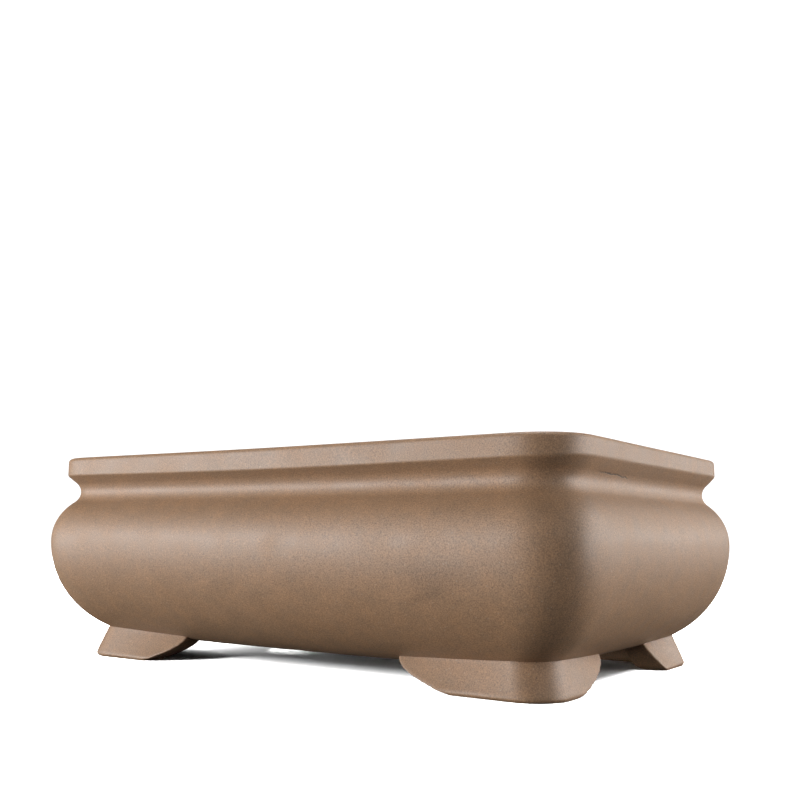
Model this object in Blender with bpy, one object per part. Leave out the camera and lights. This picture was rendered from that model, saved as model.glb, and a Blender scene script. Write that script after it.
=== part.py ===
"""Rectangular bonsai pot in unglazed brown stoneware, on four corner feet.

The clay pieces are the ones a potter lutes together: a moulded belly wall, a rim strip set on
its neck, a floor slab let into its foot ring and four bracket feet. Over each drain hole lies a
plastic screen, held by a clip of bent aluminium wire whose legs pass through the hole.

Frame: +X along the pot, +Y to its back, +Z up. The origin is on the ground, under the centre.
Every wall shape is a profile of (offset, height) points. The offset is counted outwards from the
rim's vertical face, and a profile is swept round a rectangle with rounded corners.
"""

import math

import bmesh
import bpy

MM = 0.001

# Driving dimensions
RIM_LENGTH = 294 * MM
RIM_WIDTH = 191 * MM
HEIGHT = 100 * MM
WALL = 8 * MM
FLOOR = 8 * MM
BASE_HEIGHT = 9.3 * MM  # the floor's underside above the ground
GAP = 0.3 * MM  # between two pieces that touch

# The rounded corners in plan: the radius at the rim, and how fast it grows with the offset
RIM_CORNER = 22.5 * MM
CORNER_GROWTH = 0.49
CORNER_STEPS = 8

# The profile, top to bottom: rim face, cove of the neck, shoulder, belly
BELLY_BULGE = 5.5 * MM
BELLY_HEIGHT = 58.9 * MM
BELLY_DEPTH = 45.5 * MM  # how far the underside curves in
SHOULDER_RADIUS = 24.3 * MM
COVE_RADIUS = 6.7 * MM
COVE_HEIGHT = 82.7 * MM
RIM_JOINT = 86.3 * MM  # where the rim strip sits on the neck
RIM_TOP_ARRIS = 1.5 * MM
RIM_LOW_ARRIS = 2 * MM
UNDERCUT_ANGLE = 45  # of the slope under the rim, in degrees

# Feet
FOOT_SOLE_OFFSET = -14.4 * MM
FOOT_FLARE = 0.352  # how far the outer face leans in for each unit of height
FOOT_TOE_IN = 5 * MM  # how much deeper the face stands at its two ends than at the corner
FOOT_THICKNESS = 16 * MM
FOOT_SHOULDER = 12.5 * MM  # the height where the end's curve stops
FOOT_LEVELS = (3, 5, 7, 9, 11, 12.5, 20)  # mm above the ground; the top is cut off by the belly
FOOT_CURVE = 1.8
FOOT_ARRIS = 1.2 * MM
# How far each foot runs along the long side and along the short one, in mm from the rim's end
# plane, at its shoulder and at its sole. The ends are cut by hand, so no two feet are alike.
FOOT_REACHES = {
    "front_left": ((81, 59.5), (71.5, 45.5)),
    "front_right": ((89, 60.5), (79.5, 42.5)),
    "back_left": ((86, 60), (72, 46)),
    "back_right": ((85, 60), (60, 52)),
}

# Floor
DRAIN_RADIUS = 13 * MM
DRAIN_X = 52 * MM
WIRE_HOLE_RADIUS = 2.5 * MM
WIRE_HOLE_X = 84 * MM
WIRE_HOLE_Y = 30 * MM

# Drain screens and their clips
SCREEN_HOLES = 9
SCREEN_HOLE = 3.2 * MM
SCREEN_STRAND = 1.2 * MM
SCREEN_PITCH = SCREEN_HOLE + SCREEN_STRAND
SCREEN_THICKNESS = 1.2 * MM
CLIP_WIRE = 1.5 * MM
CLIP_LEG = (2 * SCREEN_PITCH, SCREEN_PITCH)  # each leg passes through the middle of a cell
CLIP_LOOP = 4 * MM
CLIP_TAIL_X = 22 * MM
CLIP_BEND = 1.6 * MM
LOOP_STEPS = 15
BEND_STEPS = 3

# Surfaces: base colour, roughness and metallic
STONEWARE = ((0.262, 0.187, 0.136), 0.68, 0.0)
SCREEN_PLASTIC = ((0.035, 0.036, 0.034), 0.5, 0.0)
ALUMINIUM = ((0.55, 0.50, 0.45), 0.38, 1.0)

# Worked out from the driving dimensions
BELLY_RADII = (BELLY_DEPTH, BELLY_HEIGHT - BASE_HEIGHT)
BELLY_CENTRE = (BELLY_BULGE - BELLY_DEPTH, BELLY_HEIGHT)
SHOULDER_CENTRE = (BELLY_BULGE - SHOULDER_RADIUS, BELLY_HEIGHT)
COVE_RISE = COVE_HEIGHT - BELLY_HEIGHT
COVE_CENTRE = (
    SHOULDER_CENTRE[0] + math.sqrt((SHOULDER_RADIUS + COVE_RADIUS) ** 2 - COVE_RISE**2),
    COVE_HEIGHT,
)
SHOULDER_END = math.degrees(math.asin(COVE_RISE / (SHOULDER_RADIUS + COVE_RADIUS)))
INNER_NECK = COVE_CENTRE[0] - COVE_RADIUS - WALL
FLOOR_TOP = BASE_HEIGHT + FLOOR
FLOOR_EDGE = BELLY_CENTRE[0]


def elliptic_arc(centre, radii, start, end, steps):
    """Points from one angle to another, both included. Degrees, 0 points outwards."""
    angles = [math.radians(start + (end - start) * i / steps) for i in range(steps + 1)]
    return [
        (centre[0] + radii[0] * math.cos(a), centre[1] + radii[1] * math.sin(a)) for a in angles
    ]


def arc(centre, radius, start, end, steps):
    return elliptic_arc(centre, (radius, radius), start, end, steps)


def belly_arc(growth, start, end, steps):
    """The belly's curve below its widest line, grown outwards by a thickness."""
    radii = (BELLY_RADII[0] + growth, BELLY_RADII[1] + growth)
    return elliptic_arc(BELLY_CENTRE, radii, start, end, steps)


def cove_angle(height):
    """The angle on the cove's circle of the point at this height, on its concave side."""
    return 180 - math.degrees(math.asin((height - COVE_HEIGHT) / COVE_RADIUS))


def wall_profile():
    """The belly wall's closed section: down its outside, then up its inside."""
    outside = arc(COVE_CENTRE, COVE_RADIUS, cove_angle(RIM_JOINT), 180 + SHOULDER_END, 6)
    outside += arc(SHOULDER_CENTRE, SHOULDER_RADIUS, SHOULDER_END, 0, 6)[1:]
    outside += belly_arc(0, 0, -90, 10)[1:]
    inside = belly_arc(-WALL, -90, 0, 9)
    inside += arc(SHOULDER_CENTRE, SHOULDER_RADIUS - WALL, 0, SHOULDER_END, 5)[1:]
    inside += arc(COVE_CENTRE, COVE_RADIUS + WALL, 180 + SHOULDER_END, 180, 3)[1:]
    return outside + inside + [(INNER_NECK, RIM_JOINT)]


def rim_profile():
    """The rim strip's closed section: flat face, rounded arrises, and the upper half of the cove."""
    bottom = RIM_JOINT + GAP
    slope_start = 180 - UNDERCUT_ANGLE
    cove = arc(COVE_CENTRE, COVE_RADIUS, slope_start, cove_angle(bottom), 2)
    # The slope leaves the cove at its own tangent, and meets the rim's face at this height.
    face_low = cove[0][1] - cove[0][0] * math.tan(math.radians(UNDERCUT_ANGLE))
    trim = RIM_LOW_ARRIS * math.tan(math.radians(UNDERCUT_ANGLE / 2))
    low_centre = (-RIM_LOW_ARRIS, face_low + trim)
    top_centre = (-RIM_TOP_ARRIS, HEIGHT - RIM_TOP_ARRIS)
    inner_centre = (INNER_NECK + RIM_TOP_ARRIS, HEIGHT - RIM_TOP_ARRIS)
    outside = arc(top_centre, RIM_TOP_ARRIS, 90, 0, 3)
    outside += arc(low_centre, RIM_LOW_ARRIS, 0, -UNDERCUT_ANGLE, 3)
    inside = [(INNER_NECK, bottom)] + arc(inner_centre, RIM_TOP_ARRIS, 180, 90, 3)
    return outside + cove + inside


def corner_radius(offset):
    return RIM_CORNER * math.exp(CORNER_GROWTH * offset / RIM_CORNER)


def quarter(offset, height):
    """The outline's front-right quarter at one offset: points round its corner, +X to -Y side."""
    radius = corner_radius(offset)
    x = RIM_LENGTH / 2 + offset - radius
    y = RIM_WIDTH / 2 + offset - radius
    angles = [math.pi / 2 * i / CORNER_STEPS for i in range(CORNER_STEPS + 1)]
    return [(x + radius * math.cos(a), -y - radius * math.sin(a), height) for a in angles]


def outline(offset, height):
    """The whole outline at one offset, anticlockwise seen from above."""
    front_right = quarter(offset, height)
    back_right = [(x, -y, z) for x, y, z in front_right]
    back_left = [(-x, -y, z) for x, y, z in front_right]
    front_left = [(-x, y, z) for x, y, z in front_right]
    return front_right[::-1] + back_right + back_left[::-1] + front_left


def clear_scene():
    for old in list(bpy.data.objects):
        bpy.data.objects.remove(old)


def material(name, colour, roughness, metallic):
    made = bpy.data.materials.new(name)
    made.use_nodes = True
    shader = made.node_tree.nodes["Principled BSDF"]
    shader.inputs["Base Color"].default_value = (*colour, 1.0)
    shader.inputs["Roughness"].default_value = roughness
    shader.inputs["Metallic"].default_value = metallic
    return made


def add_object(name, mesh, surface=None):
    made = bpy.data.objects.new(name, mesh)
    bpy.context.scene.collection.objects.link(made)
    if surface:
        mesh.materials.append(surface)
    return made


def object_from(name, bm, surface=None, smooth_angle=35):
    """A finished bmesh as an object with outward faces, shaded smooth below the given angle."""
    bmesh.ops.recalc_face_normals(bm, faces=bm.faces)
    mesh = bpy.data.meshes.new(name)
    bm.to_mesh(mesh)
    bm.free()
    mesh.shade_smooth()
    mesh.set_sharp_from_angle(angle=math.radians(smooth_angle))
    return add_object(name, mesh, surface)


def join_rings(bm, first, second):
    """Faces between two closed rings of vertices with the same count."""
    count = len(first)
    for i in range(count):
        following = (i + 1) % count
        bm.faces.new((first[i], first[following], second[following], second[i]))


def swept_ring(name, profile, surface):
    """A closed section carried round the pot."""
    bm = bmesh.new()
    rings = [[bm.verts.new(p) for p in outline(*point)] for point in profile]
    for i, ring in enumerate(rings):
        join_rings(bm, ring, rings[(i + 1) % len(rings)])
    return object_from(name, bm, surface)


def lofted_solid(name, levels, surface=None):
    """A solid through a stack of outlines, closed by a flat face at each end."""
    bm = bmesh.new()
    rings = [[bm.verts.new(p) for p in level] for level in levels]
    for low, high in zip(rings, rings[1:]):
        join_rings(bm, low, high)
    bm.faces.new(rings[0])
    bm.faces.new(rings[-1])
    return object_from(name, bm, surface)


def cut(body, cutter):
    """Takes the cutter out of the body and keeps it only as a guide."""
    modifier = body.modifiers.new("Cut " + cutter.name, "BOOLEAN")
    modifier.operation = "DIFFERENCE"
    modifier.solver = "EXACT"
    modifier.object = cutter
    cutter.hide_render = True
    cutter.display_type = "WIRE"


def drill(body, name, x, y, radius, segments):
    """A round hole right through the floor."""
    bm = bmesh.new()
    bmesh.ops.create_cone(
        bm, cap_ends=True, segments=segments, radius1=radius, radius2=radius, depth=3 * FLOOR
    )
    cutter = object_from(name, bm)
    cutter.location = (x, y, BASE_HEIGHT + FLOOR / 2)
    cut(body, cutter)


def belly_cutter():
    """The belly's outside grown by the gap, as a solid from its base to its widest line."""
    profile = belly_arc(GAP, -90, 0, 24)
    return lofted_solid("belly_cutter", [outline(*point) for point in profile])


def foot_reach(reach, height):
    """How far a foot runs from the rim's end at a height: a convex curve down to the sole."""
    top, sole = (length * MM for length in reach)
    below = max(0.0, 1 - height / FOOT_SHOULDER)
    return top - (top - sole) * below**FOOT_CURVE


def foot_level(reaches, height, inset):
    """An L-shaped outline in the front-right corner at a height, drawn in by the inset."""
    along, across = reaches
    outer_offset = FOOT_SOLE_OFFSET - FOOT_FLARE * height
    outer = quarter(outer_offset - inset, height)
    inner = quarter(outer_offset - FOOT_THICKNESS + inset, height)
    end_x = RIM_LENGTH / 2 - foot_reach(along, height) + inset
    end_y = -(RIM_WIDTH / 2 - foot_reach(across, height) + inset)
    toe_in = FOOT_TOE_IN * min(1.0, height / FOOT_SHOULDER)
    outer = [(outer[0][0] - toe_in, end_y, height), *outer, (end_x, outer[-1][1] + toe_in, height)]
    inner = [(inner[0][0], end_y, height), *inner, (end_x, inner[-1][1], height)]
    return outer + inner[::-1]


def foot(corner, side_x, side_y, surface, cutter):
    """One corner foot. side_x and side_y are 1 or -1, and mirror it from the front right."""
    reaches = FOOT_REACHES[corner]
    # The sole's edge is a quarter round: drawn in most on the ground, not at all at its top.
    arris = [(FOOT_ARRIS * (1 - math.sin(a)), FOOT_ARRIS * (1 - math.cos(a)))
             for a in (0, math.pi / 4, math.pi / 2)]
    levels = [foot_level(reaches, height, inset) for inset, height in arris]
    levels += [foot_level(reaches, height * MM, 0.0) for height in FOOT_LEVELS]
    mirrored = [[(x * side_x, y * side_y, z) for x, y, z in level] for level in levels]
    made = lofted_solid("foot_" + corner, mirrored, surface)
    cut(made, cutter)
    return made


def floor_slab(surface):
    edge = FLOOR_EDGE - GAP
    slab = lofted_solid("floor_slab", [outline(edge, z) for z in (BASE_HEIGHT, FLOOR_TOP)], surface)
    for side in (-1, 1):
        drill(slab, f"drain_cutter_{side}", side * DRAIN_X, 0.0, DRAIN_RADIUS, 32)
        for row in (-1, 1):
            place = (side * WIRE_HOLE_X, row * WIRE_HOLE_Y)
            drill(slab, f"wire_cutter_{side}_{row}", *place, WIRE_HOLE_RADIUS, 16)
    return slab


def drain_screen(name, side, surface):
    """A square net: a plate of square cells, every second one both ways left open."""
    half = (SCREEN_HOLES * SCREEN_PITCH + SCREEN_STRAND) / 2
    lines = [-half]
    for _ in range(SCREEN_HOLES):
        lines += [lines[-1] + SCREEN_STRAND, lines[-1] + SCREEN_PITCH]
    lines.append(lines[-1] + SCREEN_STRAND)
    bm = bmesh.new()
    grid = [[bm.verts.new((x, y, 0.0)) for y in lines] for x in lines]
    for i in range(len(lines) - 1):
        for j in range(len(lines) - 1):
            if i % 2 and j % 2:
                continue
            bm.faces.new((grid[i][j], grid[i + 1][j], grid[i + 1][j + 1], grid[i][j + 1]))
    lifted = bmesh.ops.extrude_face_region(bm, geom=bm.faces[:])["geom"]
    corners = [v for v in lifted if isinstance(v, bmesh.types.BMVert)]
    bmesh.ops.translate(bm, verts=corners, vec=(0.0, 0.0, SCREEN_THICKNESS))
    made = object_from(name, bm, surface)
    made.location = (side * DRAIN_X, 0.0, FLOOR_TOP + GAP)
    return made


def clip_half():
    """The clip's path from the middle of its bar to one tip: bar, loop, leg, tail."""
    radius = CLIP_WIRE / 2
    bar_z = FLOOR_TOP + GAP + SCREEN_THICKNESS + GAP + radius
    cross_z = bar_z + CLIP_WIRE + GAP
    tail_z = BASE_HEIGHT - GAP - radius
    leg_x, leg_y = CLIP_LEG
    path = [(0.0, 0.0, bar_z)]
    # Three quarters of a turn to the outside, rising to pass over the bar
    for i in range(LOOP_STEPS + 1):
        angle = math.radians(90 - 270 * i / LOOP_STEPS)
        x = leg_x + CLIP_LOOP * (1 + math.cos(angle))
        y = CLIP_LOOP * (math.sin(angle) - 1)
        path.append((x, y, bar_z + (cross_z - bar_z) * i / LOOP_STEPS))
    down = arc((leg_y - CLIP_BEND, cross_z - CLIP_BEND), CLIP_BEND, 90, 0, BEND_STEPS)
    path += [(leg_x, y, z) for y, z in down]
    out = arc((leg_x + CLIP_BEND, tail_z + CLIP_BEND), CLIP_BEND, 180, 270, BEND_STEPS)
    path += [(x, leg_y, z) for x, z in out]
    path.append((CLIP_TAIL_X, leg_y, tail_z))
    return path


def screen_clip(name, side, surface):
    """A bent wire: the half path, and the same turned half round the hole's axis.

    side is 1 or -1, and makes the two clips mirror images.
    """
    half = [(side * x, y, z) for x, y, z in clip_half()]
    path = [(-x, -y, z) for x, y, z in half[:0:-1]] + half
    curve = bpy.data.curves.new(name, "CURVE")
    curve.dimensions = "3D"
    curve.bevel_depth = CLIP_WIRE / 2
    curve.bevel_resolution = 2
    curve.use_fill_caps = True
    spline = curve.splines.new("POLY")
    spline.points.add(len(path) - 1)
    for point, place in zip(spline.points, path):
        point.co = (*place, 1.0)
    made = add_object(name, curve, surface)
    made.location = (side * DRAIN_X, 0.0, 0.0)
    return made


def build():
    clear_scene()
    clay = material("stoneware", *STONEWARE)
    plastic = material("screen_plastic", *SCREEN_PLASTIC)
    wire = material("clip_wire", *ALUMINIUM)

    swept_ring("belly_wall", wall_profile(), clay)
    swept_ring("rim_band", rim_profile(), clay)
    floor_slab(clay)
    cutter = belly_cutter()
    for end, side_x in (("left", -1), ("right", 1)):
        for face, side_y in (("front", 1), ("back", -1)):  # foot_level draws a front one
            foot(f"{face}_{end}", side_x, side_y, clay, cutter)
        drain_screen(f"drain_screen_{end}", side_x, plastic)
        screen_clip(f"screen_clip_{end}", side_x, wire)


build()
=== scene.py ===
import math

import bmesh
import bpy
import numpy as np
from mathutils import Matrix, Vector


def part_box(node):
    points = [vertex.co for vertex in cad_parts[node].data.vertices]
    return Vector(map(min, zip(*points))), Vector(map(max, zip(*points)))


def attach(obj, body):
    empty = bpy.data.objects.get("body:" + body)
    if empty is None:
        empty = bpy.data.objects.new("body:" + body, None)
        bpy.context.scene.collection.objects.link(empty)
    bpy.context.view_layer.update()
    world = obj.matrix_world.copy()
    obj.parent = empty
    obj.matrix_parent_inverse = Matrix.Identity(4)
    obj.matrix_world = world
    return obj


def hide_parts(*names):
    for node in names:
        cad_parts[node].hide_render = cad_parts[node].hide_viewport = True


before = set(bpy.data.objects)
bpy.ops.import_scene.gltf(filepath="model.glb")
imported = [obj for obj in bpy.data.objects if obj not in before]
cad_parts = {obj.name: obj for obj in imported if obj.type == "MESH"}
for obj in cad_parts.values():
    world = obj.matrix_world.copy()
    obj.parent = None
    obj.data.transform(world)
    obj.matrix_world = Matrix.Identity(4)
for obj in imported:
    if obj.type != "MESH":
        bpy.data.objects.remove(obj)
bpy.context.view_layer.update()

# Looks of a rectangular bonsai pot in unglazed stoneware. Each CAD node is replaced by a fine mesh
# with the same shape: the clay is swept from the same profile, with soft arrises, the slight sag
# and waviness of fired clay and a sandy procedural surface. Metres, in the CAD's frame.

MM = 0.001

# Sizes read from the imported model
HALF_X, HALF_Y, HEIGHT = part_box("rim_band")[1]
WALL_LOW, WALL_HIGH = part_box("belly_wall")
SCREEN_LOW, SCREEN_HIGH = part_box("drain_screen_right")
BULGE = WALL_HIGH.x - HALF_X
BASE_Z = WALL_LOW.z
FLOOR_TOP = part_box("floor_slab")[1].z

# Shape constants, most of them shared with the CAD. The arrises and the sole's round are softer here.
WALL = 8 * MM
GAP = 0.3 * MM
RIM_CORNER = 22.5 * MM
CORNER_GROWTH = 0.49
BELLY_Z = 58.9 * MM
BELLY_DEPTH = 45.5 * MM
SHOULDER_RADIUS = 24.3 * MM
COVE_RADIUS = 6.7 * MM
COVE_Z = 82.7 * MM
SEAM_Z = 86.45 * MM
RIM_EDGE_Z = 91.4 * MM
RIM_TOP_ARRIS = 2.0 * MM
RIM_LOW_ARRIS = 1.8 * MM
FOOT_SOLE_OFFSET = -14.4 * MM
FOOT_FLARE = 0.352
FOOT_TOE_IN = 5 * MM
FOOT_THICKNESS = 16 * MM
FOOT_SHOULDER = 12.5 * MM
FOOT_CURVE = 1.8
SOLE_ROUND = 2.0 * MM
# In mm from the rim's end plane: (shoulder, sole) along the long side, then along the short side
FOOT_REACHES = {
    "front_left": ((81, 59.5), (71.5, 45.5)),
    "front_right": ((89, 60.5), (79.5, 42.5)),
    "back_left": ((86, 60), (72, 46)),
    "back_right": ((85, 60), (60, 52)),
}
FOOT_TOP = 24 * MM
FOOT_VOXEL = 0.55 * MM
FOOT_CUT_DEPTH = 1.5 * MM
DRAIN_X = 52 * MM
DRAIN_RADIUS = 13 * MM
WIRE_HOLE_RADIUS = 2.5 * MM
WIRE_HOLES = (84 * MM, 30 * MM)
SCREEN_PITCH = 4.4 * MM
SCREEN_HOLES = 9
STRAND_WIDTH = 1.2 * MM
WIRE_RADIUS = 0.75 * MM
SAG = 0.5 * MM

# How softly the corners run into the sides at the rim, and how that grows outwards (per mm)
CORNER_EASE = 4.5 * MM
EASE_GROWTH = 0.07
RING_POINTS = 400

# Soft lights aimed at the pot: name, azimuth, elevation and power. Azimuth 0 is in front, 90 right.
LIGHT_DISTANCE = 1.6
LIGHT_SIZE = 0.5
LIGHTS = (
    ("light_left", -33, 0, 29),
    ("light_left_side", -62, -1, 12),
    ("light_left_high", -30, 25, 4.5),
    ("light_front", 45, 25, 2),
    ("light_right", 112, 4, 15),
    ("light_right_high", 130, 28, 9),
    ("light_right_back", 145, 4, 6),
    ("light_above", -148, 80, 14),
)
# Lights that reach only the paper, up to the pot's own shadow, with their sizes before the power
PAPER_LIGHT_DISTANCE = 2.2
PAPER_LIGHTS = (
    ("paper_light_front", -12, 21, 0.7, 300),
    ("paper_light_right", 80, 46, 0.4, 150),
    ("paper_light_left", -95, 16, 1.0, 300),
    ("paper_light_back", 146, 54, 0.5, 60),
)

BELLY_CENTRE = (BULGE - BELLY_DEPTH, BELLY_Z)
SHOULDER_CENTRE = (BULGE - SHOULDER_RADIUS, BELLY_Z)
COVE_RISE = COVE_Z - BELLY_Z
COVE_CENTRE = (
    SHOULDER_CENTRE[0] + math.sqrt((SHOULDER_RADIUS + COVE_RADIUS) ** 2 - COVE_RISE**2),
    COVE_Z,
)
SHOULDER_END = math.degrees(math.asin(COVE_RISE / (SHOULDER_RADIUS + COVE_RADIUS)))
INNER_NECK = COVE_CENTRE[0] - COVE_RADIUS - WALL


# ---------------------------------------------------------------- shapes


def arc(centre, radii, start, end, steps):
    """Points on an ellipse from one angle to another, both included. Degrees, 0 outwards."""
    rx, rz = radii if isinstance(radii, tuple) else (radii, radii)
    angles = [math.radians(start + (end - start) * i / steps) for i in range(steps + 1)]
    return [(centre[0] + rx * math.cos(a), centre[1] + rz * math.sin(a)) for a in angles]


def straight(start, end, steps):
    """Points between two points, with neither of them."""
    return [
        tuple(a + (b - a) * i / steps for a, b in zip(start, end)) for i in range(1, steps)
    ]


def belly_arc(growth, start, end, steps):
    radii = (BELLY_DEPTH + growth, BELLY_Z - BASE_Z + growth)
    return arc(BELLY_CENTRE, radii, start, end, steps)


def cove_angle(height):
    return 180 - math.degrees(math.asin((height - COVE_Z) / COVE_RADIUS))


def wall_profile():
    """The belly wall's closed section, from the seam down its outside and up its inside."""
    outside = arc(COVE_CENTRE, COVE_RADIUS, cove_angle(SEAM_Z), 180 + SHOULDER_END, 18)
    outside += arc(SHOULDER_CENTRE, SHOULDER_RADIUS, SHOULDER_END, 0, 22)[1:]
    outside += belly_arc(0, 0, -90, 52)[1:]
    inside = belly_arc(-WALL, -90, 0, 34)
    inside += arc(SHOULDER_CENTRE, SHOULDER_RADIUS - WALL, 0, SHOULDER_END, 12)[1:]
    inside += arc(COVE_CENTRE, COVE_RADIUS + WALL, 180 + SHOULDER_END, 180, 10)[1:]
    neck = (INNER_NECK, SEAM_Z)
    edge = straight(outside[-1], inside[0], 4)
    return outside + edge + inside + straight(inside[-1], neck, 3) + [neck]


def rim_profile():
    """The rim strip's closed section, from its inner arris over the top and down the outside."""
    slope = 45
    cove = arc(COVE_CENTRE, COVE_RADIUS, 180 - slope, cove_angle(SEAM_Z), 6)
    face_low = cove[0][1] - cove[0][0]
    trim = RIM_LOW_ARRIS * math.tan(math.radians(slope / 2))
    inner = arc((INNER_NECK + RIM_TOP_ARRIS, HEIGHT - RIM_TOP_ARRIS), RIM_TOP_ARRIS, 180, 90, 8)
    outer = arc((-RIM_TOP_ARRIS, HEIGHT - RIM_TOP_ARRIS), RIM_TOP_ARRIS, 90, 0, 8)
    low = arc((-RIM_LOW_ARRIS, face_low + trim), RIM_LOW_ARRIS, 0, -slope, 7)
    start = (INNER_NECK, SEAM_Z)
    return (
        [start]
        + straight(start, inner[0], 12)
        + inner
        + straight(inner[-1], outer[0], 8)
        + outer
        + straight(outer[-1], low[0], 7)
        + low
        + straight(low[-1], cove[0], 4)
        + cove
    )


def corner_radius(offset):
    return RIM_CORNER * math.exp(CORNER_GROWTH * offset / RIM_CORNER)


def corners(offset, steps, tightened=0.0):
    """The sharp-ended outline at one offset: four arcs joined by straight sides, anticlockwise."""
    radius = corner_radius(offset) - tightened
    x, y = HALF_X + offset - radius, HALF_Y + offset - radius
    points = []
    for k, (sx, sy) in enumerate(((1, 1), (-1, 1), (-1, -1), (1, -1))):
        for i in range(steps + 1):
            a = math.pi / 2 * (k + i / steps)
            points.append((sx * x + radius * math.cos(a), sy * y + radius * math.sin(a)))
    return np.array(points)


def outline(offset):
    """Evenly spaced plan points at one offset, and the outward direction at each.

    The outline is relaxed so that each corner eases into its sides, more so on the belly. That
    draws a corner in, so it starts with a smaller radius and ends where the CAD's corner is.
    """
    ease = CORNER_EASE * math.exp(EASE_GROWTH * offset / MM)
    drawn_in = ease**2 / (2 * corner_radius(offset))
    rough = corners(offset, 24, drawn_in / (math.sqrt(2) - 1))
    closed = np.vstack([rough, rough[:1]])
    run = np.concatenate([[0], np.cumsum(np.linalg.norm(np.diff(closed, axis=0), axis=1))])
    at = np.linspace(0, run[-1], RING_POINTS, endpoint=False)
    plan = np.column_stack([np.interp(at, run, closed[:, i]) for i in (0, 1)])
    spread = ease / (run[-1] / RING_POINTS)
    waves = np.fft.rfftfreq(RING_POINTS)
    damp = np.exp(-2 * (math.pi * waves * spread) ** 2)
    plan = np.fft.irfft(np.fft.rfft(plan, axis=0) * damp[:, None], RING_POINTS, axis=0)
    along = np.roll(plan, -1, axis=0) - np.roll(plan, 1, axis=0)
    ways = np.column_stack([along[:, 1], -along[:, 0]])
    return plan, ways / np.linalg.norm(ways, axis=1)[:, None]


def waviness(count, height):
    """How far the clay stands out at each point of a ring: a few slow waves, in metres."""
    t = np.linspace(0, 2 * math.pi, count, endpoint=False)
    wave = 0.16 * np.sin(2 * t + 0.7) + 0.12 * np.sin(3 * t + 21 * height)
    wave += 0.07 * np.sin(7 * t - 47 * height) + 0.04 * np.sin(13 * t + 90 * height + 4.0)
    return wave * MM


def sag(points):
    """The long walls sink a little in their middle as the clay is fired. The soles stay put."""
    reach = np.clip(1 - (points[:, 0] / HALF_X) ** 2, 0, 1) ** 2
    rise = np.clip((points[:, 2] - 1.5 * MM) / (9 * MM), 0, 1)
    points[:, 2] -= SAG * reach * rise * rise * (3 - 2 * rise)
    return points


def cut_line(points):
    """The rim strip was trimmed by hand: its lower edge runs low in front and high on the right."""
    low = np.clip(1 - (points[:, 0] / HALF_X) ** 2, 0, 1) * (points[:, 1] < 0)
    high = np.clip((points[:, 0] / HALF_X - 0.93) / 0.07, 0, 1)
    near_edge = np.exp(-(((points[:, 2] - RIM_EDGE_Z) / (2.2 * MM)) ** 2))
    near_edge *= np.clip((points[:, 2] - SEAM_Z) / (2 * MM), 0, 1)
    points[:, 2] += (0.8 * high - 0.7 * low) * MM * near_edge
    return points


def object_from_mesh(name, mesh, surface, smooth_angle=40):
    mesh.shade_smooth()
    mesh.set_sharp_from_angle(angle=math.radians(smooth_angle))
    mesh.materials.clear()
    mesh.materials.append(surface)
    made = bpy.data.objects.new(name, mesh)
    bpy.context.scene.collection.objects.link(made)
    return made


def mesh_from(name, points, faces):
    mesh = bpy.data.meshes.new(name)
    mesh.from_pydata([tuple(p) for p in points], [], [tuple(f) for f in faces])
    mesh.update()
    return mesh


def closed_sweep(name, profile, surface, shape=None):
    """A closed section carried round the pot, with the waviness of its place and any further shape."""
    rings = []
    for offset, height in profile:
        plan, ways = outline(offset)
        plan = plan + ways * waviness(len(plan), height)[:, None]
        rings.append(np.column_stack([plan, np.full(len(plan), height)]))
    count = len(rings[0])
    points = np.concatenate(rings)
    points = sag(shape(points) if shape else points)
    faces = []
    for i in range(len(rings)):
        a, b = i * count, (i + 1) % len(rings) * count
        for j in range(count):
            k = (j + 1) % count
            faces.append((a + j, b + j, b + k, a + k))
    return object_from_mesh(name, outward(mesh_from(name, points, faces)), surface)


def outward(mesh):
    bm = bmesh.new()
    bm.from_mesh(mesh)
    bmesh.ops.recalc_face_normals(bm, faces=bm.faces)
    bm.to_mesh(mesh)
    bm.free()
    return mesh


def loft(name, levels):
    """A closed solid through a stack of rings of 3-D points with the same count."""
    count = len(levels[0])
    faces = [tuple(range(count))]
    for i in range(len(levels) - 1):
        a, b = i * count, (i + 1) * count
        faces += [(a + j, b + j, b + (j + 1) % count, a + (j + 1) % count) for j in range(count)]
    last = (len(levels) - 1) * count
    faces.append(tuple(range(last, last + count)))
    return outward(mesh_from(name, [p for level in levels for p in level], faces))


def evaluated(name, mesh, modifiers):
    """The mesh after a list of (type, settings) modifiers."""
    temporary = bpy.data.objects.new(name, mesh)
    bpy.context.scene.collection.objects.link(temporary)
    for kind, settings in modifiers:
        modifier = temporary.modifiers.new(kind, kind)
        for key, value in settings.items():
            setattr(modifier, key, value)
    graph = bpy.context.evaluated_depsgraph_get()
    made = bpy.data.meshes.new_from_object(temporary.evaluated_get(graph), depsgraph=graph)
    bpy.data.objects.remove(temporary)
    made.name = name
    return made


def as_cutter(name, mesh):
    cutter = bpy.data.objects.new(name, mesh)
    bpy.context.scene.collection.objects.link(cutter)
    return cutter


# ---------------------------------------------------------------- feet


def foot_reach(reach, height):
    shoulder, sole = reach
    below = max(0.0, 1 - height / FOOT_SHOULDER)
    return (shoulder - (shoulder - sole) * below**FOOT_CURVE) * MM


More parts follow.
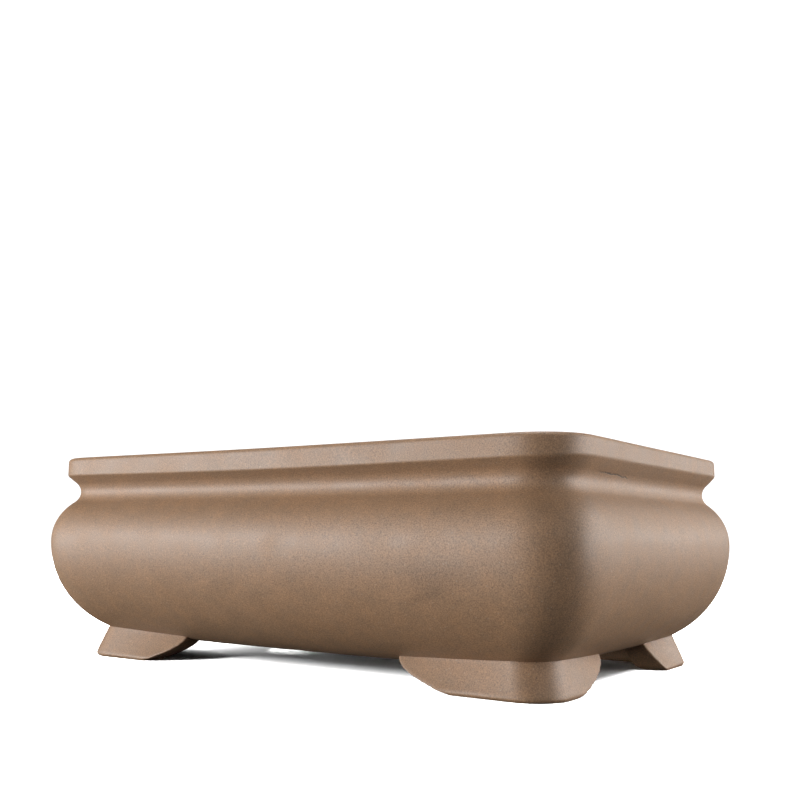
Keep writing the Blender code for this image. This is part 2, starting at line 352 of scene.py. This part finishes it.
def foot_ring(reaches, height):
    """A foot's L-shaped outline at a height, as it stands at the front right."""
    above = max(0.0, SOLE_ROUND - height)
    inset = SOLE_ROUND - math.sqrt(SOLE_ROUND**2 - above**2)
    outer_offset = FOOT_SOLE_OFFSET - FOOT_FLARE * height
    toe_in = FOOT_TOE_IN * min(1.0, height / FOOT_SHOULDER)
    end_x = HALF_X - foot_reach(reaches[0], height) + inset
    end_y = -(HALF_Y - foot_reach(reaches[1], height) + inset)
    sides = []
    inner_offset = outer_offset - FOOT_THICKNESS
    for offset, shift in ((outer_offset - inset, toe_in), (inner_offset + inset, 0.0)):
        radius = corner_radius(offset)
        x, y = HALF_X + offset - radius, HALF_Y + offset - radius
        turn = [math.radians(-90 * i / 14) for i in range(15)]
        arc_points = [(x + radius * math.cos(a), -y + radius * math.sin(a)) for a in turn]
        first = (arc_points[0][0] - shift, end_y)
        last = (end_x, arc_points[-1][1] + shift)
        side = [first, *straight(first, arc_points[0], 8), *arc_points]
        side += [*straight(arc_points[-1], last, 10), last]
        sides.append(side)
    return [(px, py, height) for px, py in sides[0] + sides[1][::-1]]


def belly_solid(growth):
    """The belly's outside as a solid, from the base to its widest line."""
    levels = []
    for offset, height in belly_arc(growth, -90, 0, 60):
        levels.append([(px, py, height) for px, py in corners(offset, 16)])
    return loft("belly_solid", levels)


def foot(corner, side_x, side_y, cutter, surface):
    """A corner foot with worn arrises: lofted, remeshed and relaxed, then cut inside the wall."""
    name = "foot_clay_" + corner
    heights = [0.0, 0.1, 0.3, 0.6, 1.0, 1.5, 2.0, *[h + 0.5 for h in range(2, 13)], 16, FOOT_TOP / MM]
    blank = loft(name, [foot_ring(FOOT_REACHES[corner], h * MM) for h in heights])
    made = evaluated(name, blank, [
        ("REMESH", {"mode": "VOXEL", "voxel_size": FOOT_VOXEL}),
        ("SMOOTH", {"factor": 0.6, "iterations": 12}),
        ("BOOLEAN", {"operation": "DIFFERENCE", "solver": "EXACT", "object": cutter}),
    ])
    points = np.empty(len(made.vertices) * 3)
    made.vertices.foreach_get("co", points)
    points = points.reshape(-1, 3)
    # Relaxing draws the sole up a little: the lowest part is set back on the ground, flat.
    points[:, 2] = np.where(points[:, 2] < 0.32 * MM, 0.0, points[:, 2])
    points = sag(points)
    points[:, 0] *= side_x
    points[:, 1] *= side_y
    made.vertices.foreach_set("co", points.ravel())
    made = outward(made)
    return object_from_mesh(name, made, surface, smooth_angle=60)


# ---------------------------------------------------------------- floor, screens and clips


def spool(name, x, y, radius, lip):
    """A cutter for a hole through the floor whose mouths are rounded over."""
    thickness = FLOOR_TOP - BASE_Z
    half = [(radius + lip - lip * math.sin(a), lip - lip * math.cos(a))
            for a in [math.pi / 2 * i / 6 for i in range(7)]]
    low = [(radius + lip + MM, -3 * MM), (radius + lip + MM, -0.02 * MM)] + half
    profile = low + [(r, thickness - z) for r, z in reversed(low)]
    turn = [2 * math.pi * i / 64 for i in range(64)]
    levels = [[(x + r * math.cos(a), y + r * math.sin(a), BASE_Z + z) for a in turn]
              for r, z in profile]
    return as_cutter(name, loft(name, levels))


def floor_slab(surface):
    """The floor, out to the wall, with rounded drain and wire holes."""
    edge = BELLY_CENTRE[0]
    plan = corners(edge, 10)
    heights = [BASE_Z, FLOOR_TOP]
    mesh = loft("floor_clay", [[(px, py, h) for px, py in plan] for h in heights])
    cutters = []
    for side in (-1, 1):
        cutters.append(spool(f"cut_drain_{side}", side * DRAIN_X, 0.0, DRAIN_RADIUS, 1.1 * MM))
        for row in (-1, 1):
            x, y = side * WIRE_HOLES[0], row * WIRE_HOLES[1]
            cutters.append(spool(f"cut_wire_{side}_{row}", x, y, WIRE_HOLE_RADIUS, 0.6 * MM))
    settings = {"operation": "DIFFERENCE", "solver": "EXACT"}
    cuts = [("BOOLEAN", {**settings, "object": cutter}) for cutter in cutters]
    made = evaluated("floor_clay", mesh, cuts)
    for cutter in cutters:
        bpy.data.objects.remove(cutter)
    return object_from_mesh("floor_clay", made, surface, smooth_angle=35)


def strand(length, wide, thick, along_x, place, height):
    """A net strand's rings: a soft flat section that narrows between its crossings."""
    sides, steps = 12, SCREEN_HOLES * 6
    rings = []
    for i in range(steps + 1):
        t = i / steps
        s = (t - 0.5) * length
        pinch = 1 + 0.16 * math.cos(2 * math.pi * t * SCREEN_HOLES)
        ring = []
        for k in range(sides):
            a = 2 * math.pi * k / sides
            c, n = math.cos(a), math.sin(a)
            u = wide / 2 * pinch * math.copysign(abs(c) ** 0.7, c)
            w = thick / 2 * math.copysign(abs(n) ** 0.7, n)
            x, y = (s, place + u) if along_x else (place + u, s)
            ring.append((x, y, height + w))
        rings.append(ring)
    return rings


def drain_screen(name, side, surface):
    """A moulded plastic net: two layers of strands that melt into each other."""
    half = SCREEN_HOLES * SCREEN_PITCH / 2
    length = SCREEN_HIGH.x - SCREEN_LOW.x
    low, high = SCREEN_LOW.z, SCREEN_HIGH.z
    thick = (high - low) * 0.68
    bm = bmesh.new()
    for along_x in (True, False):
        height = low + thick / 2 if along_x else high - thick / 2
        for i in range(SCREEN_HOLES + 1):
            place = -half + i * SCREEN_PITCH
            rings = strand(length, STRAND_WIDTH, thick, along_x, place, height)
            part = loft(name, rings)
            bm.from_mesh(part)
            bpy.data.meshes.remove(part)
    mesh = bpy.data.meshes.new(name)
    bm.to_mesh(mesh)
    bm.free()
    mesh.transform(Matrix.Translation((side * DRAIN_X, 0, 0)))
    return object_from_mesh(name, outward(mesh), surface, smooth_angle=50)


def clip_half():
    """The clip's path from the middle of its bar to one tip: bar, loop, leg, tail."""
    radius, bend, loop = WIRE_RADIUS, 1.6 * MM, 4 * MM
    leg_x, leg_y = 2 * SCREEN_PITCH, SCREEN_PITCH
    bar_z = SCREEN_HIGH.z + GAP + radius
    cross_z = bar_z + 2 * radius + GAP
    tail_z = BASE_Z - GAP - radius
    path = [(0.0, 0.0, bar_z - 0.15 * MM)]
    path += [(x, 0.0, bar_z) for x in (5 * MM, 9 * MM, 12 * MM)]
    steps = 36
    for i in range(steps + 1):
        angle = math.radians(90 - 270 * i / steps)
        x = leg_x + loop * (1 + math.cos(angle))
        y = loop * (math.sin(angle) - 1)
        path.append((x, y, bar_z + (cross_z - bar_z) * i / steps))
    path += [(leg_x, y, z) for y, z in arc((leg_y - bend, cross_z - bend), bend, 90, 0, 8)]
    path += [(x, leg_y, z) for x, z in arc((leg_x + bend, tail_z + bend), bend, 180, 270, 8)]
    path += [(leg_x + 7 * MM, leg_y + 0.2 * MM, tail_z), (22 * MM, leg_y + 0.6 * MM, tail_z)]
    return path


def screen_clip(name, side, surface):
    half = [(side * x, y, z) for x, y, z in clip_half()]
    path = [(-x, -y, z) for x, y, z in half[:0:-1]] + half
    curve = bpy.data.curves.new(name, "CURVE")
    curve.dimensions = "3D"
    curve.bevel_depth = WIRE_RADIUS
    curve.bevel_resolution = 5
    curve.use_fill_caps = True
    spline = curve.splines.new("POLY")
    spline.points.add(len(path) - 1)
    for point, (x, y, z) in zip(spline.points, path):
        point.co = (x + side * DRAIN_X, y, z, 1.0)
    spline.use_smooth = True
    curve.materials.append(surface)
    made = bpy.data.objects.new(name, curve)
    bpy.context.scene.collection.objects.link(made)
    return made


# ---------------------------------------------------------------- materials


class Shader:
    """A short way to write a node tree on one Principled surface."""

    def __init__(self, name):
        self.material = bpy.data.materials.new(name)
        self.material.use_nodes = True
        self.tree = self.material.node_tree
        self.surface = self.tree.nodes["Principled BSDF"]
        self.place = self.tree.nodes.new("ShaderNodeTexCoord").outputs["Object"]

    def set(self, socket, value):
        target = self.surface.inputs[socket]
        if isinstance(value, bpy.types.NodeSocket):
            self.tree.links.new(value, target)
        else:
            target.default_value = value

    def node(self, kind, inputs, **settings):
        made = self.tree.nodes.new(kind)
        for key, value in settings.items():
            setattr(made, key, value)
        for key, value in inputs.items():
            if isinstance(value, bpy.types.NodeSocket):
                self.tree.links.new(value, made.inputs[key])
            else:
                made.inputs[key].default_value = value
        return made

    def math(self, operation, a, b=0.0, c=0.0, clamp=False):
        inputs = {0: a, 1: b, 2: c}
        return self.node("ShaderNodeMath", inputs, operation=operation, use_clamp=clamp).outputs[0]

    def stretched(self, scale, shift=(0, 0, 0)):
        inputs = {"Vector": self.place, "Scale": scale, "Location": shift}
        return self.node("ShaderNodeMapping", inputs).outputs[0]

    def noise(self, scale, detail=2.0, roughness=0.5, vector=None):
        inputs = {"Vector": vector or self.place, "Scale": scale, "Detail": detail,
                  "Roughness": roughness}
        return self.node("ShaderNodeTexNoise", inputs).outputs[0]

    def ramp(self, value, low, high, to_low=0.0, to_high=1.0):
        inputs = {"Value": value, "From Min": low, "From Max": high,
                  "To Min": to_low, "To Max": to_high}
        return self.node("ShaderNodeMapRange", inputs).outputs[0]

    def mix(self, factor, a, b, blend="MIX"):
        made = self.node("ShaderNodeMix", {0: factor, 6: a, 7: b}, data_type="RGBA",
                         blend_type=blend)
        return made.outputs[2]

    def grains(self, scale, size, share, shift):
        """Scattered round grains: 1 inside one, 0 outside. share is how many cells hold one."""
        vector = self.stretched((1, 1, 1), shift)
        cells = self.node("ShaderNodeTexVoronoi", {"Vector": vector, "Scale": scale})
        pick = self.node("ShaderNodeSeparateColor", {0: cells.outputs["Color"]}).outputs[0]
        inside = self.ramp(cells.outputs["Distance"], size, size * 0.4)
        return self.math("MULTIPLY", inside, self.ramp(pick, share, share * 0.8))


def rgb(red, green, blue):
    return (red, green, blue, 1.0)


def spot(s, x, z, length, width, turn, edge):
    """A soft oval patch on the front face: 1 in its middle, 0 outside. Sizes in mm, turn in degrees."""
    split = s.node("ShaderNodeSeparateXYZ", {0: s.place}).outputs
    c, n = math.cos(math.radians(turn)) / MM, math.sin(math.radians(turn)) / MM
    across = s.math("SUBTRACT", split[0], x * MM)
    up = s.math("SUBTRACT", split[2], z * MM)
    along = s.math("MULTIPLY_ADD", across, c / length, s.math("MULTIPLY", up, n / length))
    aside = s.math("MULTIPLY_ADD", up, c / width, s.math("MULTIPLY", across, -n / width))
    reach = s.math("ADD", s.math("POWER", along, 2.0), s.math("POWER", aside, 2.0))
    reach = s.math("MULTIPLY_ADD", edge, 0.8, s.math("SQRT", reach))
    in_front = s.ramp(split[1], -0.085, -0.09)
    return s.math("MULTIPLY", s.ramp(reach, 1.5, 0.7), in_front)


def hairline(s, wander):
    """A short firing crack in the joint under the rim, on the right side: 1 on the line, 0 off it."""
    split = s.node("ShaderNodeSeparateXYZ", {0: s.place}).outputs
    line = s.math("MULTIPLY_ADD", split[1], -0.04, 84.75 * MM)
    line = s.math("MULTIPLY_ADD", s.math("SUBTRACT", wander, 0.5), 2.4 * MM, line)
    away = s.math("ABSOLUTE", s.math("SUBTRACT", split[2], line))
    inside = s.ramp(away, 0.32 * MM, 0.12 * MM)
    ends = s.math("MULTIPLY", s.ramp(split[1], -0.059, -0.056), s.ramp(split[1], -0.026, -0.030))
    return s.math("MULTIPLY", inside, s.math("MULTIPLY", ends, s.ramp(split[0], 0.1365, 0.1380)))


def clay_material():
    s = Shader("stoneware_clay")
    broad = s.noise(13, 3, 0.5)
    patch = s.noise(75, 4, 0.55)
    blotch = s.noise(150, 2, 0.5)
    grain = s.noise(1900, 3, 0.65)
    warm = s.ramp(s.math("MULTIPLY_ADD", blotch, 0.6, s.math("MULTIPLY", broad, 0.4)), 0.38, 0.62)
    colour = s.mix(warm, rgb(0.297, 0.177, 0.099), rgb(0.315, 0.179, 0.094))
    cloud = s.math("MULTIPLY_ADD", blotch, 0.5, s.math("MULTIPLY", patch, 0.5))
    tone = s.ramp(cloud, 0.35, 0.65, 0.95, 1.05)
    grit = s.ramp(grain, 0.36, 0.64, 0.68, 1.32)
    value = s.math("MULTIPLY", tone, grit)
    smudge = s.math("MAXIMUM", spot(s, 92, 46, 17, 9, 0, blotch), spot(s, 88, 39, 18, 2.2, 15, blotch))
    value = s.math("MULTIPLY", value, s.math("MULTIPLY_ADD", smudge, -0.16, 1.0))
    grey = s.node("ShaderNodeCombineColor", {0: value, 1: value, 2: value}).outputs[0]
    colour = s.mix(1.0, colour, grey, "MULTIPLY")
    pale = s.grains(800, 0.30, 0.10, (0, 0, 0))
    dark = s.grains(700, 0.30, 0.12, (0.3, 0.1, 0.2))
    colour = s.mix(s.math("MULTIPLY", pale, 0.40), colour, rgb(0.48, 0.38, 0.29))
    colour = s.mix(s.math("MULTIPLY", dark, 0.55), colour, rgb(0.12, 0.078, 0.050))
    crack = hairline(s, s.noise(190, 3, 0.6))
    colour = s.mix(s.math("MULTIPLY", crack, 0.85), colour, rgb(0.030, 0.020, 0.015))
    s.set("Base Color", colour)
    s.set("Roughness", s.ramp(patch, 0.3, 0.7, 0.52, 0.60))
    s.set("Specular IOR Level", 0.8)
    wiped = s.noise(1.0, 2, 0.5, s.stretched((30, 30, 900)))
    peel = s.noise(330, 2, 0.5)
    height = s.math("MULTIPLY_ADD", grain, 1.0, s.math("MULTIPLY", peel, 0.8))
    height = s.math("MULTIPLY_ADD", wiped, 0.35, height)
    height = s.math("MULTIPLY_ADD", pale, 0.25, height)
    height = s.math("MULTIPLY_ADD", dark, -0.6, height)
    height = s.math("MULTIPLY_ADD", crack, -2.0, height)
    bump = s.node("ShaderNodeBump", {"Height": height, "Strength": 0.55, "Distance": 0.08 * MM})
    s.set("Normal", bump.outputs[0])
    return s.material


def net_material():
    s = Shader("net_plastic")
    scuff = s.noise(420, 3, 0.6)
    colour = s.mix(s.ramp(scuff, 0.55, 0.8), rgb(0.028, 0.029, 0.028), rgb(0.075, 0.072, 0.066))
    s.set("Base Color", colour)
    s.set("Roughness", s.ramp(scuff, 0.3, 0.8, 0.38, 0.62))
    bump = s.node("ShaderNodeBump", {"Height": s.noise(900, 2), "Strength": 0.3,
                                     "Distance": 0.05 * MM})
    s.set("Normal", bump.outputs[0])
    return s.material


def wire_material():
    s = Shader("clip_aluminium")
    drawn = s.noise(1.0, 2, 0.5, s.stretched((300, 2200, 2200)))
    dull = s.noise(160, 3, 0.6)
    s.set("Base Color", s.mix(s.ramp(dull, 0.4, 0.7), rgb(0.60, 0.58, 0.55), rgb(0.42, 0.40, 0.37)))
    s.set("Metallic", 1.0)
    s.set("Roughness", s.ramp(dull, 0.3, 0.7, 0.32, 0.5))
    bump = s.node("ShaderNodeBump", {"Height": drawn, "Strength": 0.35, "Distance": 0.04 * MM})
    s.set("Normal", bump.outputs[0])
    return s.material


def paper_painted_glow_material():
    """Pale paper that glows white away from the pot: painted light that fades to white as in a brightly
    lit studio, with no glow right by the pot.
    """
    s = Shader("studio_paper_painted_glow")
    split = s.node("ShaderNodeSeparateXYZ", {0: s.place}).outputs
    reach = s.math("SQRT", s.math("ADD", s.math("POWER", split[0], 2), s.math("POWER", split[1], 2)))
    s.set("Base Color", rgb(0.86, 0.86, 0.86))
    s.set("Roughness", 0.9)
    s.set("Specular IOR Level", 0.1)
    # Painted light: the paper's glow is nothing within 0.22 m of the pot's middle and full from 0.45 m
    # out.
    s.set("Emission Color", rgb(1.0, 0.995, 0.985))
    s.set("Emission Strength", s.ramp(reach, 0.22, 0.45, 0.0, 1.0))
    return s.material


def bounce_material():
    s = Shader("studio_bounce")
    s.set("Base Color", rgb(0.14, 0.14, 0.14))
    s.set("Roughness", 1.0)
    s.set("Specular IOR Level", 0.0)
    return s.material


# ---------------------------------------------------------------- stage, light and camera


def area_light(name, azimuth, elevation, distance, size, power):
    """A soft square light aimed at the pot. Azimuth 0 stands in front (-Y), 90 at the right."""
    a, e = math.radians(azimuth), math.radians(elevation)
    way = Vector((math.sin(a) * math.cos(e), -math.cos(a) * math.cos(e), math.sin(e)))
    data = bpy.data.lights.new(name, "AREA")
    data.shape = "SQUARE"
    data.size = size
    data.energy = power
    made = bpy.data.objects.new(name, data)
    bpy.context.scene.collection.objects.link(made)
    made.location = way * distance + Vector((0, 0, 0.05))
    made.rotation_euler = way.to_track_quat("Z", "Y").to_euler()
    made.visible_camera = False
    return made


def floor_plane(name, half, height, surface):
    corners = [(-half, -half, height), (half, -half, height), (half, half, height),
               (-half, half, height)]
    plane = object_from_mesh(name, mesh_from(name, corners, [(0, 1, 2, 3)]), surface)
    return plane


def studio():
    """White paper to the camera, lit by lamps and by its own painted glow away from the pot, and a dull
    plane just under it for the light that bounces up.

    The paper is overexposed in the picture, but it hardly lightens the pot's underside.
    """
    # The paper glows with painted light away from the pot.
    paper = floor_plane("studio_paper_painted_glow", 9.0, 0.0, paper_painted_glow_material())
    paper.visible_diffuse = False
    paper.visible_glossy = False
    paper.visible_shadow = False
    bounce = floor_plane("studio_bounce", 9.0, -0.1 * MM, bounce_material())
    bounce.visible_camera = False

    world = bpy.data.worlds.new("studio")
    bpy.context.scene.world = world
    world.use_nodes = True
    tree = world.node_tree
    back = tree.nodes["Background"]
    back.inputs["Color"].default_value = rgb(0.8, 0.92, 1.0)
    back.inputs["Strength"].default_value = 0.03
    white = tree.nodes.new("ShaderNodeBackground")
    white.inputs["Color"].default_value = rgb(1, 1, 1)
    white.inputs["Strength"].default_value = 1.2
    path = tree.nodes.new("ShaderNodeLightPath")
    mix = tree.nodes.new("ShaderNodeMixShader")
    tree.links.new(path.outputs["Is Camera Ray"], mix.inputs[0])
    tree.links.new(back.outputs[0], mix.inputs[1])
    tree.links.new(white.outputs[0], mix.inputs[2])
    tree.links.new(mix.outputs[0], tree.nodes["World Output"].inputs["Surface"])

    for name, azimuth, elevation, power in LIGHTS:
        area_light(name, azimuth, elevation, LIGHT_DISTANCE, LIGHT_SIZE, power)

    only_paper = bpy.data.collections.new("only_paper")
    only_paper.objects.link(paper)
    for name, azimuth, elevation, size, power in PAPER_LIGHTS:
        light = area_light(name, azimuth, elevation, PAPER_LIGHT_DISTANCE, size, power)
        light.light_linking.receiver_collection = only_paper
    scene = bpy.context.scene
    scene.view_settings.view_transform = "Standard"
    scene.view_settings.look = "None"


def camera():
    """The viewpoint: low, in front of the pot's right corner."""
    yaw, pitch, roll = 0.5983, 0.1382, 0.0080
    place = Vector((292.79 * MM, -416.49 * MM, 61.29 * MM))
    ahead = Vector((-math.sin(yaw) * math.cos(pitch), math.cos(yaw) * math.cos(pitch),
                    math.sin(pitch)))
    side = Vector((math.cos(yaw), math.sin(yaw), 0))
    above = side.cross(ahead)
    right = side * math.cos(roll) + above * math.sin(roll)
    up = above * math.cos(roll) - side * math.sin(roll)
    data = bpy.data.cameras.new("camera")
    data.sensor_width = 36
    data.lens = 44.12
    data.clip_start = 0.01
    made = bpy.data.objects.new("camera", data)
    bpy.context.scene.collection.objects.link(made)
    turn = Matrix((right, up, -ahead)).transposed().to_4x4()
    made.matrix_world = Matrix.Translation(place) @ turn
    bpy.context.scene.camera = made


# ---------------------------------------------------------------- assembly


def place(piece, node, slot):
    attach(piece, "root")
    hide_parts(node)


def build():
    clay, net, wire = clay_material(), net_material(), wire_material()
    place(closed_sweep("belly_clay", wall_profile(), clay), "belly_wall", "stoneware")
    place(closed_sweep("rim_clay", rim_profile(), clay, cut_line), "rim_band", "stoneware")
    place(floor_slab(clay), "floor_slab", "stoneware")
    cutter = as_cutter("cut_belly", belly_solid(-FOOT_CUT_DEPTH))
    for end, side_x in (("left", -1), ("right", 1)):
        for face, side_y in (("front", 1), ("back", -1)):
            piece = foot(f"{face}_{end}", side_x, side_y, cutter, clay)
            place(piece, f"foot_{face}_{end}", "stoneware")
        screen = drain_screen(f"screen_net_{end}", side_x, net)
        place(screen, f"drain_screen_{end}", "screen_plastic")
        clip = screen_clip(f"clip_wire_{end}", side_x, wire)
        place(clip, f"screen_clip_{end}", "clip_wire")
    bpy.data.objects.remove(cutter)


build()
camera()
studio()
